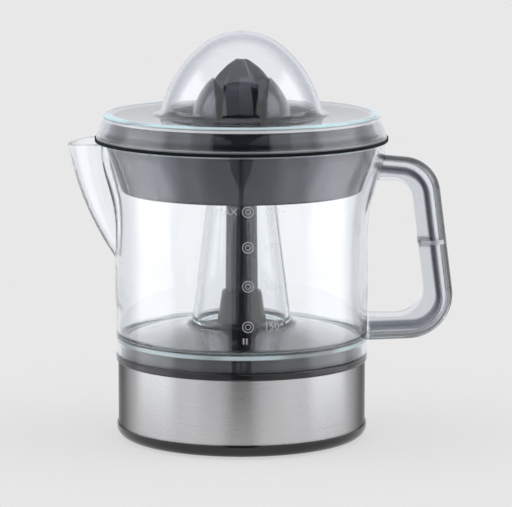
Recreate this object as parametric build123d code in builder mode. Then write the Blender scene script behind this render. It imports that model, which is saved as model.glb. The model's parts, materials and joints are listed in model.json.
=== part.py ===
from build123d import *
import os
from math import acos, atan2, cos, hypot, pi, radians, sin, sqrt, tan

# Electric citrus juicer: pressing half a fruit on the reamer closes a switch, and a geared motor turns it.
# The origin is on the spin axis, on the table. +Z is up, the spout points to -X and the handle to +X.

# Clearances and overruns that many pieces share
overrun = 2.0            # how far a cutting shape passes the face that it cuts
running_gap = 0.05       # radial, between a turning shaft and its bush
fixed_gap = 0.05         # radial, between a screw, pin or bush and the hole that holds it
loose_gap = 0.6          # between pieces of different bodies that pass each other
stop_gap = 0.3           # left between a moving piece and its stop

# Press action: how far the reamer goes down to start the motor
press_travel = 2.5

# Base plate with its rubber foot ring
table_gap = 0.8
foot_floor = 2.2
foot_lip_step = 0.7
foot_tuck = 2.9
foot_lip_height = 6.8
foot_bulge_share = 0.72
spigot_wall = 1.8
spigot_height = 4.5
rubber_inset = 11.8
rubber_width = 5.0
rubber_height = 2.0
vent_count = 16
vent_width = 2.0
vent_length = 13.0
vent_radius = 33.0

# Steel band round the motor
band_radius = 62.9
band_sheet = 0.6
band_height = 32.4
band_gap = 0.1

# Top housing: wall, ring, deck and tower
housing_wall = 2.2
ring_step = 1.0
ring_height = 4.0
ring_round = 0.9
deck_riser_gap = 2.3
deck_gap = 1.0
tower_height = 31.0
tower_top_radius = 9.9
tower_base_radius = 12.6
tower_base_height = 14.5
cup_wall = 1.1
cup_depth = 6.4
tower_boss_wall = 2.6

# Screws that hold the base plate to the housing posts
base_screw_angles = (20, 160, 270)
base_screw_radius = 1.5
base_screw_length = 14.0
base_head_radius = 2.9
base_head_height = 2.0
base_post_radius = 3.8
base_boss_wall = 1.6

# Gear plate, hung from four housing posts
motor_space = 27.5
gear_plate_thickness = 2.0
gear_plate_gap = 9.1
plate_screw_angles = (30, 130, 200, 340)
plate_screw_inset = 5.5
plate_screw_radius = 1.4
plate_screw_length = 8.0
plate_head_radius = 2.6
plate_head_height = 1.6
plate_post_radius = 3.4
plate_window_radius = 9.0
plate_window_angles = (245, 295)
plate_window_circle = 33.0

# Motor: a U-shaped laminated core with two coils and a magnet rotor
rotor_x = -18.0
rotor_y = 29.0
magnet_radius = 9.5
magnet_gap = 0.6
magnet_height = 16.0
core_height = 14.0
core_floor_gap = 7.5
leg_width = 9.0
leg_spacing = 22.0
pole_length = 26.0
pole_width = 31.0
coil_length = 25.0
yoke_length = 9.5
core_slot = 3.0
bobbin_wall = 0.8
bobbin_flange = 1.2
bobbin_fit = 0.2
coil_build = 4.2
motor_screw_radius = 1.4
motor_head_radius = 2.6
motor_head_height = 1.6
spacer_wall = 1.2
pole_screw_offset = 12.6
bridge_thickness = 2.0
bridge_width = 8.0
bridge_pad_length = 5.4
rotor_shaft_radius = 1.2
rotor_bush_wall = 1.6
rotor_bush_flange = 0.8

# Gears: straight teeth with an involute flank
pressure_angle = radians(25)
addendum_share = 1.0
dedendum_share = 1.25
flank_shares = (0.0, 0.35, 0.7, 1.0)
backlash = 0.16
pinion_teeth = 12
wheel_teeth = 60
first_module = 0.6
second_module = 0.8
wheel_face = 4.0
wheel_plate_gap = 0.7
output_face = 4.5
idler_axle_radius = 2.0
idler_axle_seat = 4.0
idler_hub_radius = 3.6

# Spindle, its bushes, seal, return spring and press plate
spindle_radius = 4.0
spindle_hex = 6.8
spindle_hex_length = 22.0
output_hub_radius = 7.5
output_rim_width = 3.0
output_web = 2.0
lower_bush_wall = 1.6
lower_bush_height = 5.0
upper_bush_wall = 2.5
upper_bush_length = 9.5
bush_flange = 1.5
seal_height = 3.0
spring_length = 8.0
spring_wire = 1.3
spring_gap = 0.5
press_plate_thickness = 1.5
press_plate_radius = 10.5
tongue_width = 6.0
tongue_depth = 4.5
tongue_thickness = 2.0
ear_width = 2.0
ear_gap = 0.35

# Start switch under the press plate
switch_length = 13.0
switch_width = 6.4
switch_height = 4.5
switch_radius = 14.0
plunger_radius = 1.4
tab_width = 5.0

# Cord gland at the back of the band
gland_bore = 3.6
gland_wall = 1.7
gland_flange = 2.0
gland_flange_thickness = 1.8
gland_inner_length = 5.0
gland_height = 18.0

# Jug: walls, floor, column, spout and handle
clear_wall = 2.0
jug_foot_inset = 0.2
jug_belly_swell = 0.6
jug_shoulder_inset = 6.4
jug_belly_height = 40.0
jug_shoulder_drop = 29.0
jug_collar_drop = 9.0
jug_collar_inset = 0.8
jug_skirt_height = 6.3
jug_floor_rise = 7.0
jug_floor_round = 3.0
column_base_radius = 25.2
column_top_radius = 15.6
column_round = 4.0
column_top_height = 92.8
column_rim_drop = 15.2
column_hole_gap = 0.9
spout_reach = 15.0
spout_drop = 60.5
spout_lip_drop = 2.0
spout_nose_radius = 21.0
spout_foot_radius = 9.0
spout_bow_share = 0.66
spout_level_shares = (-0.12, 0.3, 0.65, 1.0)
spout_top_share = 1.04
handle_depth = 16.0
handle_wall = 2.4
handle_back_round = 7.2
handle_rib = 2.2
handle_rib_share = 0.54
handle_root_x = 57.4
handle_top_outer_x = 98.6
handle_top_outer_drop = 10.0
handle_top_root_drop = 6.2
handle_low_outer_x = 110.2
handle_low_outer_height = 7.4
handle_low_root_height = 5.2
handle_top_inner_x = 85.4
handle_top_inner_drop = 19.6
handle_low_inner_x = 94.0
handle_low_inner_height = 18.5
handle_top_outer_round = 19.0
handle_low_outer_round = 23.0
handle_top_inner_round = 10.0
handle_low_inner_round = 14.0

# Drive shaft
shaft_radius = 7.6
shaft_foot_radius = 8.3
shaft_cup_gap = 0.7
shaft_collar_radius = 11.0
shaft_collar_height = 2.0
shaft_hex = 10.5
shaft_hex_length = 20.0
hex_gap = 0.2

# Strainer bowl
bowl_wall = 2.0
bowl_flange_radius = 74.0
bowl_flange_height = 1.6
bowl_flange_width = 4.4
bowl_flange_overhang = 1.0
bowl_flare = 8.7
bowl_depth = 25.2
bowl_corner_round = 2.5
hub_radius = 18.2
hub_wall = 2.0
hub_lip = 1.5
slot_count = 36
slot_width = 1.7
slot_hub_gap = 8.8
slot_wall_gap = 6.9
bead_width = 1.6
bead_height = 1.6

# Reamer: a fluted small cone, and a large cone of two petals over it
flute_count = 8
flute_turn = 17.0
small_radius = 20.4
small_bow = 33.0
small_height = 45.0
small_shoulder_height = 15.7
groove_share = 0.74
flute_level_shares = (0.0, 0.35, 0.62, 0.84, 1.0)
disc_radius = 25.0
disc_height = 3.0
skirt_wall = 2.0
skirt_height = 9.0
large_radius = 25.6
large_bow = 33.0
large_shoulder_height = 11.0
large_top_height = 35.4
large_wall = 2.0
large_flange_radius = 29.0
large_flange_height = 2.4
petal_gap_low = 22.0
petal_gap_high = 28.0

# Dust cover
cover_inset = 0.4
cover_wall = 1.8
cover_brim_slope = 4.2
cover_brim_height = 12.4
cover_brim_round = 2.2
cover_dish = 1.0
dome_radius = 41.2
dome_height = 53.6
dome_top_bow = 32.3
dome_top_width = 20.5
dome_base_round = 5.0

# Levels, from the table up
underside_z = table_gap
floor_z = underside_z + foot_floor
lip_z = foot_lip_height
screw_head_z = (floor_z + lip_z) / 2
band_top_z = lip_z + band_height
ring_top_z = band_top_z + ring_height
plate_z = floor_z + motor_space
plate_top_z = plate_z + gear_plate_thickness
press_z = plate_top_z + spring_length
output_z = press_z + press_plate_thickness
wheel_z = plate_top_z + wheel_plate_gap
core_z = floor_z + core_floor_gap
core_top_z = core_z + core_height
tower_top_z = ring_top_z + tower_height
cup_floor_z = tower_top_z - cup_depth
upper_bush_top_z = cup_floor_z - seal_height
upper_bush_z = upper_bush_top_z - upper_bush_length
output_hub_top_z = upper_bush_z - bush_flange - stop_gap
pinion_top_z = output_z + output_face + stop_gap
jug_floor_z = ring_top_z + jug_skirt_height
column_top_z = ring_top_z + column_top_height
jug_rim_z = column_top_z + column_rim_drop
shaft_z = cup_floor_z + press_travel + stop_gap + loose_gap / 2
collar_z = column_top_z + press_travel + shaft_cup_gap
collar_top_z = collar_z + shaft_collar_height
hub_roof_z = collar_top_z + shaft_cup_gap
hub_top_z = hub_roof_z + hub_wall
cone_z = hub_top_z + press_travel + loose_gap
bowl_rim_z = jug_rim_z
bowl_top_z = bowl_rim_z + bowl_flange_height
bowl_z = bowl_rim_z - bowl_depth
disc_top_z = cone_z + disc_height
cover_z = bowl_top_z

# Radii and places that several pieces share
housing_radius = band_radius - band_sheet - band_gap
housing_inner = housing_radius - housing_wall
foot_lip_radius = band_radius + foot_lip_step
foot_contact_radius = foot_lip_radius - foot_tuck
rubber_radius = foot_contact_radius - rubber_inset
ring_radius = band_radius + ring_step
gear_plate_radius = housing_inner - gear_plate_gap
plate_screw_circle = gear_plate_radius - plate_screw_inset
jug_foot_radius = ring_radius - jug_foot_inset
jug_belly_radius = jug_foot_radius + jug_belly_swell
deck_riser_radius = jug_foot_radius - clear_wall - deck_riser_gap
base_screw_circle = housing_inner - base_post_radius + fixed_gap * 2
cup_radius = tower_top_radius - cup_wall
upper_bush_radius = spindle_radius + running_gap + upper_bush_wall
lower_bush_radius = spindle_radius + running_gap + lower_bush_wall
spring_inner = lower_bush_radius + spring_gap
shaft_hole_radius = shaft_radius + column_hole_gap
bowl_rim_radius = bowl_flange_radius - bowl_flange_width
bowl_floor_radius = bowl_rim_radius - bowl_flare
jug_rim_radius = bowl_flange_radius - bowl_flange_overhang
jug_collar_radius = jug_rim_radius - jug_collar_inset
jug_shoulder_radius = jug_rim_radius - jug_shoulder_inset
spout_tip_radius = jug_rim_radius + spout_reach
slot_inner_radius = hub_radius + hub_wall + slot_hub_gap
slot_outer_radius = bowl_floor_radius - slot_wall_gap
cover_radius = bowl_flange_radius - cover_inset
cover_brim_radius = cover_radius - cover_brim_slope
bead_radius = cover_radius - cover_wall - 2 * loose_gap
first_centres = first_module * (pinion_teeth + wheel_teeth) / 2
second_centres = second_module * (pinion_teeth + wheel_teeth) / 2
rotor_reach = hypot(rotor_x, rotor_y)
rotor_angle = atan2(rotor_y, rotor_x)
idler_swing = second_centres**2 + rotor_reach**2 - first_centres**2
idler_turn = acos(idler_swing / (2 * second_centres * rotor_reach))
idler_angle = rotor_angle + idler_turn
idler_x = second_centres * cos(idler_angle)
idler_y = second_centres * sin(idler_angle)
wheel_angle = atan2(rotor_y - idler_y, rotor_x - idler_x)
half_pitch = pi / pinion_teeth


def rise(radius):
    """How far the conical jug floor has risen at a radius, measured from its outer edge."""
    share = (jug_foot_radius - radius) / (jug_foot_radius - column_base_radius)
    return jug_floor_rise * share


def deck_z(radius):
    """The level of the housing's deck, which follows the jug's floor from below."""
    return jug_floor_z - deck_gap + rise(radius)


def polar(angle, radius):
    """The point at an angle in degrees on a circle about the spin axis."""
    return (radius * cos(radians(angle)), radius * sin(radians(angle)))


def gear_outline(teeth, module_size, centre, phase):
    """Corners of a gear with a tooth at the phase angle. Each flank is an involute in short chords."""
    pitch = teeth * module_size / 2
    base = pitch * cos(pressure_angle)
    tip = pitch + addendum_share * module_size
    root = pitch - dedendum_share * module_size
    foot = max(base, root)
    half_tooth = pi / (2 * teeth) - backlash / (2 * pitch) + tan(pressure_angle) - pressure_angle
    flank = [(root, half_tooth)] if root < base else []
    for share in flank_shares:
        radius = foot + share * (tip - foot)
        roll = acos(base / radius)
        flank.append((radius, half_tooth - tan(roll) + roll))
    corners = []
    for tooth in range(teeth):
        middle = phase + 2 * pi * tooth / teeth
        rising = [(radius, middle - half) for radius, half in flank]
        falling = [(radius, middle + half) for radius, half in reversed(flank)]
        for radius, angle in rising + falling:
            corners.append((centre[0] + radius * cos(angle), centre[1] + radius * sin(angle)))
    return corners


def bow(radius, arc, height):
    """The radius of a cone profile at a height over its shoulder, where its arc starts upright."""
    return radius - arc + sqrt(arc**2 - height**2)


# Base plate: a shallow tray with a rounded foot, a sharp lip, a spigot and three screw bosses
with BuildPart() as base_plate:
    with BuildSketch(Plane.XZ):
        with BuildLine():
            bulge_x = foot_contact_radius + foot_bulge_share * (foot_lip_radius - foot_contact_radius)
            bulge_z = underside_z + (1 - foot_bulge_share) * (lip_z - underside_z)
            foot_start = (foot_contact_radius, underside_z)
            foot = ThreePointArc(foot_start, (bulge_x, bulge_z), (foot_lip_radius, lip_z))
            Polyline(
                foot @ 1,
                (housing_inner - fixed_gap, lip_z),
                (housing_inner - fixed_gap, lip_z + spigot_height),
                (housing_inner - fixed_gap - spigot_wall, lip_z + spigot_height),
                (housing_inner - fixed_gap - spigot_wall, floor_z),
                (0, floor_z),
                (0, underside_z),
                foot @ 0,
            )
        make_face()
    revolve(axis=Axis.Z)
    with BuildSketch(Plane.XY.offset(underside_z)):
        Circle(rubber_radius + rubber_width / 2 + fixed_gap)
        Circle(rubber_radius - rubber_width / 2 - fixed_gap, mode=Mode.SUBTRACT)
    extrude(amount=rubber_height - table_gap, mode=Mode.SUBTRACT)
    with BuildSketch(Plane.XY.offset(underside_z)):
        with PolarLocations(vent_radius, vent_count):
            SlotOverall(vent_length, vent_width)
    extrude(amount=foot_floor, mode=Mode.SUBTRACT)
    for angle in base_screw_angles:
        # the spigot gives way to the housing's posts
        with BuildSketch(Plane.XY.offset(lip_z)):
            with Locations(polar(angle, base_screw_circle)):
                Circle(base_post_radius + loose_gap)
        extrude(amount=spigot_height, mode=Mode.SUBTRACT)
        with BuildSketch(Plane.XY.offset(underside_z)):
            with Locations(polar(angle, base_screw_circle)):
                Circle(base_head_radius + fixed_gap + base_boss_wall)
        extrude(amount=lip_z - underside_z)
        with BuildSketch(Plane.XY.offset(underside_z)):
            with Locations(polar(angle, base_screw_circle)):
                Circle(base_head_radius + fixed_gap)
        extrude(amount=screw_head_z - underside_z, mode=Mode.SUBTRACT)
        with BuildSketch(Plane.XY.offset(screw_head_z)):
            with Locations(polar(angle, base_screw_circle)):
                Circle(base_screw_radius + fixed_gap)
        extrude(amount=lip_z - screw_head_z, mode=Mode.SUBTRACT)
base_plate.part.label = "base_plate"

# Rubber ring that the juicer stands on
with BuildPart() as rubber_ring:
    with BuildSketch():
        Circle(rubber_radius + rubber_width / 2)
        Circle(rubber_radius - rubber_width / 2, mode=Mode.SUBTRACT)
    extrude(amount=rubber_height)
rubber_ring.part.label = "rubber_ring"

# Steel band, with a hole for the cord gland
with BuildPart() as steel_band:
    with BuildSketch(Plane.XY.offset(lip_z)):
        Circle(band_radius)
        Circle(band_radius - band_sheet, mode=Mode.SUBTRACT)
    extrude(amount=band_height)
    with BuildSketch(Plane.XZ.offset(-housing_inner)):
        with Locations((0, gland_height)):
            Circle(gland_bore + gland_wall + fixed_gap)
    extrude(amount=-(band_radius - housing_inner + overrun), mode=Mode.SUBTRACT)
steel_band.part.label = "steel_band"

# Top housing: wall, ring, conical deck and the tower that carries the spindle
deck_low_z = deck_z(deck_riser_radius)
deck_foot_radius = column_base_radius - clear_wall
deck_high_z = deck_z(deck_foot_radius)
tower_foot_z = ring_top_z + tower_base_height
with BuildPart() as motor_housing:
    with BuildSketch(Plane.XZ):
        with BuildLine():
            Polyline(
                (housing_inner, lip_z),
                (housing_radius, lip_z),
                (housing_radius, band_top_z),
                (ring_radius, band_top_z),
                (ring_radius, ring_top_z),
                (deck_riser_radius, ring_top_z),
                (deck_riser_radius, deck_low_z),
                (deck_foot_radius, deck_high_z),
                (tower_base_radius, tower_foot_z),
                (tower_top_radius, tower_top_z),
                (cup_radius, tower_top_z),
                (cup_radius, cup_floor_z),
                (upper_bush_radius + fixed_gap, cup_floor_z),
                (upper_bush_radius + fixed_gap, upper_bush_z),
                (upper_bush_radius + tower_boss_wall, upper_bush_z),
                (upper_bush_radius + tower_boss_wall, deck_high_z - housing_wall),
                (deck_foot_radius, deck_high_z - housing_wall),
                (deck_riser_radius - housing_wall, deck_low_z - housing_wall),
                (deck_riser_radius - housing_wall, band_top_z),
                (housing_inner, band_top_z),
                close=True,
            )
        make_face()
    revolve(axis=Axis.Z)
    rim_edges = motor_housing.edges().filter_by(GeomType.CIRCLE)
    fillet(rim_edges.filter_by(lambda edge: abs(edge.radius - ring_radius) < fixed_gap), ring_round)
    for angles, circle, radius, hole, foot_z, length in (
        (base_screw_angles, base_screw_circle, base_post_radius, base_screw_radius,
         lip_z, base_screw_length),
        (plate_screw_angles, plate_screw_circle, plate_post_radius, plate_screw_radius,
         plate_top_z, plate_screw_length),
    ):
        for angle in angles:
            with BuildSketch(Plane.XY.offset(foot_z)):
                with Locations(polar(angle, circle)):
                    Circle(radius)
            extrude(amount=deck_z(circle) - housing_wall / 2 - foot_z)
            with BuildSketch(Plane.XY.offset(foot_z)):
                with Locations(polar(angle, circle)):
                    Circle(hole + fixed_gap)
            extrude(amount=length, mode=Mode.SUBTRACT)
    # boss under the deck for the upper end of the idler's axle
    with BuildSketch(Plane.XY.offset(pinion_top_z + stop_gap)):
        with Locations((idler_x, idler_y)):
            Circle(idler_hub_radius)
    extrude(amount=deck_z(second_centres) - housing_wall / 2 - pinion_top_z - stop_gap)
    with BuildSketch(Plane.XY.offset(pinion_top_z)):
        with Locations((idler_x, idler_y)):
            Circle(idler_axle_radius + fixed_gap)
    extrude(amount=idler_axle_seat, mode=Mode.SUBTRACT)
    with BuildSketch(Plane.XZ.offset(-housing_inner + housing_wall)):
        with Locations((0, gland_height)):
            Circle(gland_bore + gland_wall + fixed_gap)
    extrude(amount=-(housing_wall * 2 + overrun), mode=Mode.SUBTRACT)
motor_housing.part.label = "motor_housing"

# Cord gland: a flanged bush through the band and the housing wall
with BuildPart() as cord_gland:
    with BuildSketch(Plane.XZ.offset(-band_radius - fixed_gap)):
        with Locations((0, gland_height)):
            Circle(gland_bore + gland_wall + gland_flange)
    extrude(amount=-gland_flange_thickness)
    with BuildSketch(Plane.XZ.offset(-band_radius - fixed_gap)):
        with Locations((0, gland_height)):
            Circle(gland_bore + gland_wall)
    extrude(amount=gland_inner_length)
    with BuildSketch(Plane.XZ.offset(-band_radius - fixed_gap - gland_flange_thickness)):
        with Locations((0, gland_height)):
            Circle(gland_bore)
    extrude(amount=gland_inner_length + gland_flange_thickness, mode=Mode.SUBTRACT)
cord_gland.part.label = "cord_gland"

# Base screws, one group of separate solids
with BuildPart() as base_screws:
    for angle in base_screw_angles:
        with BuildSketch(Plane.XY.offset(screw_head_z - base_head_height)):
            with Locations(polar(angle, base_screw_circle)):
                Circle(base_head_radius)
        extrude(amount=base_head_height)
        with BuildSketch(Plane.XY.offset(screw_head_z)):
            with Locations(polar(angle, base_screw_circle)):
                Circle(base_screw_radius)
        extrude(amount=base_screw_length)
base_screws.part.label = "base_screws"

# Gear plate with its windows, bush seats and the two ears that keep the press plate from turning
coil_x = rotor_x + pole_length / 2
yoke_x = coil_x + coil_length
motor_screw_places = (
    (rotor_x, rotor_y - pole_screw_offset),
    (rotor_x, rotor_y + pole_screw_offset),
    (yoke_x + yoke_length / 2, rotor_y),
)
ear_x = tongue_width / 2 + ear_gap + ear_width / 2
ear_height = spring_length - press_travel - stop_gap
tongue_y = press_plate_radius - tongue_thickness / 2
with BuildPart() as gear_plate:
    with BuildSketch(Plane.XY.offset(plate_z)):
        Circle(gear_plate_radius)
        Circle(lower_bush_radius + fixed_gap, mode=Mode.SUBTRACT)
        with Locations((rotor_x, rotor_y)):
            Circle(rotor_shaft_radius + running_gap + rotor_bush_wall + fixed_gap, mode=Mode.SUBTRACT)
        with Locations((idler_x, idler_y)):
            Circle(idler_axle_radius + fixed_gap, mode=Mode.SUBTRACT)
        with Locations(*[polar(angle, plate_screw_circle) for angle in plate_screw_angles]):
            Circle(plate_screw_radius + fixed_gap, mode=Mode.SUBTRACT)
        with Locations(*motor_screw_places):
            Circle(motor_screw_radius + fixed_gap, mode=Mode.SUBTRACT)
        with Locations(*[polar(angle, plate_window_circle) for angle in plate_window_angles]):
            Circle(plate_window_radius, mode=Mode.SUBTRACT)
    extrude(amount=gear_plate_thickness)
    with BuildSketch(Plane.XY.offset(plate_top_z)):
        with Locations((ear_x, tongue_y), (-ear_x, tongue_y)):
            Rectangle(ear_width, tongue_thickness)
    extrude(amount=ear_height)
gear_plate.part.label = "gear_plate"

# Gear plate screws
with BuildPart() as gear_plate_screws:
    for angle in plate_screw_angles:
        with BuildSketch(Plane.XY.offset(plate_z)):
            with Locations(polar(angle, plate_screw_circle)):
                Circle(plate_head_radius)
        extrude(amount=-plate_head_height)
        with BuildSketch(Plane.XY.offset(plate_z)):
            with Locations(polar(angle, plate_screw_circle)):
                Circle(plate_screw_radius)
        extrude(amount=plate_screw_length)
gear_plate_screws.part.label = "gear_plate_screws"

# Laminated core: two legs, a yoke and two pole pieces parted by a slot and the rotor bore
with BuildPart() as stator_core:
    with BuildSketch(Plane.XY.offset(core_z)):
        with Locations((rotor_x, rotor_y)):
            Rectangle(pole_length, pole_width)
        with Locations((coil_x + coil_length / 2, rotor_y + leg_spacing / 2),
                       (coil_x + coil_length / 2, rotor_y - leg_spacing / 2)):
            Rectangle(coil_length + overrun, leg_width)
        with Locations((yoke_x + yoke_length / 2, rotor_y)):
            Rectangle(yoke_length, pole_width)
        with Locations((rotor_x, rotor_y)):
            Circle(magnet_radius + magnet_gap, mode=Mode.SUBTRACT)
            Rectangle(pole_length + overrun, core_slot, mode=Mode.SUBTRACT)
        with Locations(*motor_screw_places):
            Circle(motor_screw_radius + fixed_gap, mode=Mode.SUBTRACT)
    extrude(amount=core_height)
stator_core.part.label = "stator_core"

# Coil bobbins: a flanged sleeve on each leg
sleeve_width = leg_width + 2 * (bobbin_fit + bobbin_wall)
sleeve_height = core_height + 2 * (bobbin_fit + bobbin_wall)
leg_places = [(rotor_y + side * leg_spacing / 2, core_z + core_height / 2) for side in (-1, 1)]
with BuildPart() as coil_bobbins:
    for start, length, build in (
        (0, bobbin_flange, coil_build),
        (bobbin_flange, coil_length - 2 * bobbin_flange - 2 * bobbin_fit, 0),
        (coil_length - bobbin_flange - 2 * bobbin_fit, bobbin_flange, coil_build),
    ):
        with BuildSketch(Plane.YZ.offset(coil_x + bobbin_fit + start)):
            with Locations(*leg_places):
                Rectangle(sleeve_width + 2 * build, sleeve_height + 2 * build)
                Rectangle(leg_width + 2 * bobbin_fit, core_height + 2 * bobbin_fit, mode=Mode.SUBTRACT)
        extrude(amount=length)
coil_bobbins.part.label = "coil_bobbins"

# Copper windings between the bobbin flanges
with BuildPart() as coil_windings:
    with BuildSketch(Plane.YZ.offset(coil_x + bobbin_fit + bobbin_flange)):
        with Locations(*leg_places):
            RectangleRounded(sleeve_width + 2 * coil_build - 2 * bobbin_fit,
                             sleeve_height + 2 * coil_build - 2 * bobbin_fit, coil_build / 2)
            Rectangle(sleeve_width, sleeve_height, mode=Mode.SUBTRACT)
    extrude(amount=coil_length - 2 * bobbin_flange - 2 * bobbin_fit)
coil_windings.part.label = "coil_windings"

# Bearing bridge under the rotor, on two pads against the core
bridge_z = core_z - (magnet_height - core_height) / 2 - rotor_bush_flange - stop_gap - bridge_thickness
rotor_bush_radius = rotor_shaft_radius + running_gap + rotor_bush_wall
with BuildPart() as bearing_bridge:
    with BuildSketch(Plane.XY.offset(bridge_z)):
        with Locations((rotor_x, rotor_y)):
            Rectangle(bridge_width, 2 * pole_screw_offset + bridge_pad_length)
            Circle(rotor_bush_radius + fixed_gap, mode=Mode.SUBTRACT)
    extrude(amount=bridge_thickness)
    with BuildSketch(Plane.XY.offset(bridge_z + bridge_thickness)):
        with Locations(*motor_screw_places[:2]):
            Rectangle(bridge_width, bridge_pad_length)
    extrude(amount=core_z - bridge_z - bridge_thickness)
    with BuildSketch(Plane.XY.offset(bridge_z)):
        with Locations(*motor_screw_places[:2]):
            Circle(motor_screw_radius + fixed_gap)
    extrude(amount=core_z - bridge_z, mode=Mode.SUBTRACT)
bearing_bridge.part.label = "bearing_bridge"

# Spacer sleeves between the core and the gear plate
with BuildPart() as motor_spacers:
    with BuildSketch(Plane.XY.offset(core_top_z)):
        with Locations(*motor_screw_places):
            Circle(motor_screw_radius + fixed_gap + spacer_wall)
            Circle(motor_screw_radius + fixed_gap, mode=Mode.SUBTRACT)
    extrude(amount=plate_z - core_top_z)
motor_spacers.part.label = "motor_spacers"

# Motor screws: two through the bridge and one through the yoke, all into the gear plate
with BuildPart() as motor_screws:
    for place, head_z in zip(motor_screw_places, (bridge_z, bridge_z, core_z)):
        with BuildSketch(Plane.XY.offset(head_z)):
            with Locations(place):
                Circle(motor_head_radius)
        extrude(amount=-motor_head_height)
        with BuildSketch(Plane.XY.offset(head_z)):
            with Locations(place):
                Circle(motor_screw_radius)
        extrude(amount=plate_top_z - head_z)
motor_screws.part.label = "motor_screws"

# Rotor: a magnet cylinder, its steel shaft and the pinion on top
magnet_z = core_z + core_height / 2 - magnet_height / 2
with BuildPart() as rotor_magnet:
    with BuildSketch(Plane.XY.offset(magnet_z)):
        with Locations((rotor_x, rotor_y)):
            Circle(magnet_radius)
            Circle(rotor_shaft_radius, mode=Mode.SUBTRACT)
    extrude(amount=magnet_height)
rotor_magnet.part.label = "rotor_magnet"

with BuildPart() as rotor_shaft:
    with BuildSketch(Plane.XY.offset(bridge_z)):
        with Locations((rotor_x, rotor_y)):
            Circle(rotor_shaft_radius)
    extrude(amount=wheel_z + wheel_face - bridge_z)
rotor_shaft.part.label = "rotor_shaft"

with BuildPart() as rotor_pinion:
    with BuildSketch(Plane.XY.offset(wheel_z)):
        with BuildLine():
            Polyline(
                *gear_outline(pinion_teeth, first_module, (rotor_x, rotor_y),
                              wheel_angle + pi + half_pitch),
                close=True,
            )
        make_face()
        with Locations((rotor_x, rotor_y)):
            Circle(rotor_shaft_radius, mode=Mode.SUBTRACT)
    extrude(amount=wheel_face)
rotor_pinion.part.label = "rotor_pinion"

# Rotor bearings: one bush in the bridge and one in the gear plate
with BuildPart() as rotor_bearings:
    for seat_z, length, flange_z in (
        (bridge_z, bridge_thickness, bridge_z + bridge_thickness),
        (plate_z, gear_plate_thickness, plate_z - rotor_bush_flange),
    ):
        with BuildSketch(Plane.XY.offset(seat_z)):
            with Locations((rotor_x, rotor_y)):
                Circle(rotor_bush_radius)
        extrude(amount=length)
        with BuildSketch(Plane.XY.offset(flange_z)):
            with Locations((rotor_x, rotor_y)):
                Circle(rotor_bush_radius + rotor_bush_flange)
        extrude(amount=rotor_bush_flange)
    with BuildSketch(Plane.XY.offset(bridge_z)):
        with Locations((rotor_x, rotor_y)):
            Circle(rotor_shaft_radius + running_gap)
    extrude(amount=plate_top_z - bridge_z, mode=Mode.SUBTRACT)
rotor_bearings.part.label = "rotor_bearings"

# Idler: a steel axle, and a compound gear of a wheel and a long pinion
with BuildPart() as idler_axle:
    with BuildSketch(Plane.XY.offset(plate_z)):
        with Locations((idler_x, idler_y)):
            Circle(idler_axle_radius)
    extrude(amount=pinion_top_z + idler_axle_seat - plate_z)
idler_axle.part.label = "idler_axle"

with BuildPart() as idler_gear:
    with BuildSketch(Plane.XY.offset(wheel_z)):
        with BuildLine():
            Polyline(
                *gear_outline(wheel_teeth, first_module, (idler_x, idler_y), wheel_angle),
                close=True,
            )
        make_face()
    extrude(amount=wheel_face)
    with BuildSketch(Plane.XY.offset(wheel_z)):
        with BuildLine():
            Polyline(
                *gear_outline(pinion_teeth, second_module, (idler_x, idler_y),
                              idler_angle + pi + half_pitch),
                close=True,
            )
        make_face()
    extrude(amount=pinion_top_z - wheel_z)
    with BuildSketch(Plane.XY.offset(wheel_z)):
        with Locations((idler_x, idler_y)):
            Circle(idler_axle_radius + running_gap)
    extrude(amount=pinion_top_z - wheel_z, mode=Mode.SUBTRACT)
idler_gear.part.label = "idler_gear"

# Output gear: toothed rim, thin web and a tall hub that the spring holds up against the bush
with BuildPart() as output_gear:
    with BuildSketch(Plane.XY.offset(output_z)):
        with BuildLine():
            Polyline(*gear_outline(wheel_teeth, second_module, (0, 0), idler_angle), close=True)
        make_face()
    extrude(amount=output_face)
    web_radius = wheel_teeth * second_module / 2 - dedendum_share * second_module - output_rim_width
    with BuildSketch(Plane.XY.offset(output_z + output_web)):
        Circle(web_radius)
        Circle(output_hub_radius, mode=Mode.SUBTRACT)
    extrude(amount=output_face - output_web, mode=Mode.SUBTRACT)
    with BuildSketch(Plane.XY.offset(output_z)):
        Circle(output_hub_radius)
    extrude(amount=output_hub_top_z - output_z)
    with BuildSketch(Plane.XY.offset(output_z)):
        Circle(spindle_radius)
    extrude(amount=output_hub_top_z - output_z, mode=Mode.SUBTRACT)
output_gear.part.label = "output_gear"

# Spindle: a steel rod with a hexagonal end inside the drive shaft
spindle_z = plate_z + press_travel + stop_gap
with BuildPart() as spindle:
    with BuildSketch(Plane.XY.offset(spindle_z)):
        Circle(spindle_radius)
    extrude(amount=cup_floor_z + press_travel - spindle_z)
    with BuildSketch(Plane.XY.offset(cup_floor_z + press_travel)):
        RegularPolygon(spindle_hex / 2, 6, major_radius=False)
    extrude(amount=spindle_hex_length)
spindle.part.label = "spindle"

# Bushes that guide the spindle, and the seal over the upper one
with BuildPart() as lower_bush:
    with BuildSketch(Plane.XY.offset(plate_z)):
        Circle(lower_bush_radius)
        Circle(spindle_radius + running_gap, mode=Mode.SUBTRACT)
    extrude(amount=lower_bush_height)
lower_bush.part.label = "lower_bush"

with BuildPart() as upper_bush:
    with BuildSketch(Plane.XY.offset(upper_bush_z)):
        Circle(upper_bush_radius)
    extrude(amount=upper_bush_length)
    with BuildSketch(Plane.XY.offset(upper_bush_z)):
        Circle(upper_bush_radius + bush_flange)
    extrude(amount=-bush_flange)
    with BuildSketch(Plane.XY.offset(upper_bush_z - bush_flange)):
        Circle(spindle_radius + running_gap)
    extrude(amount=upper_bush_length + bush_flange, mode=Mode.SUBTRACT)
upper_bush.part.label = "upper_bush"

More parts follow.
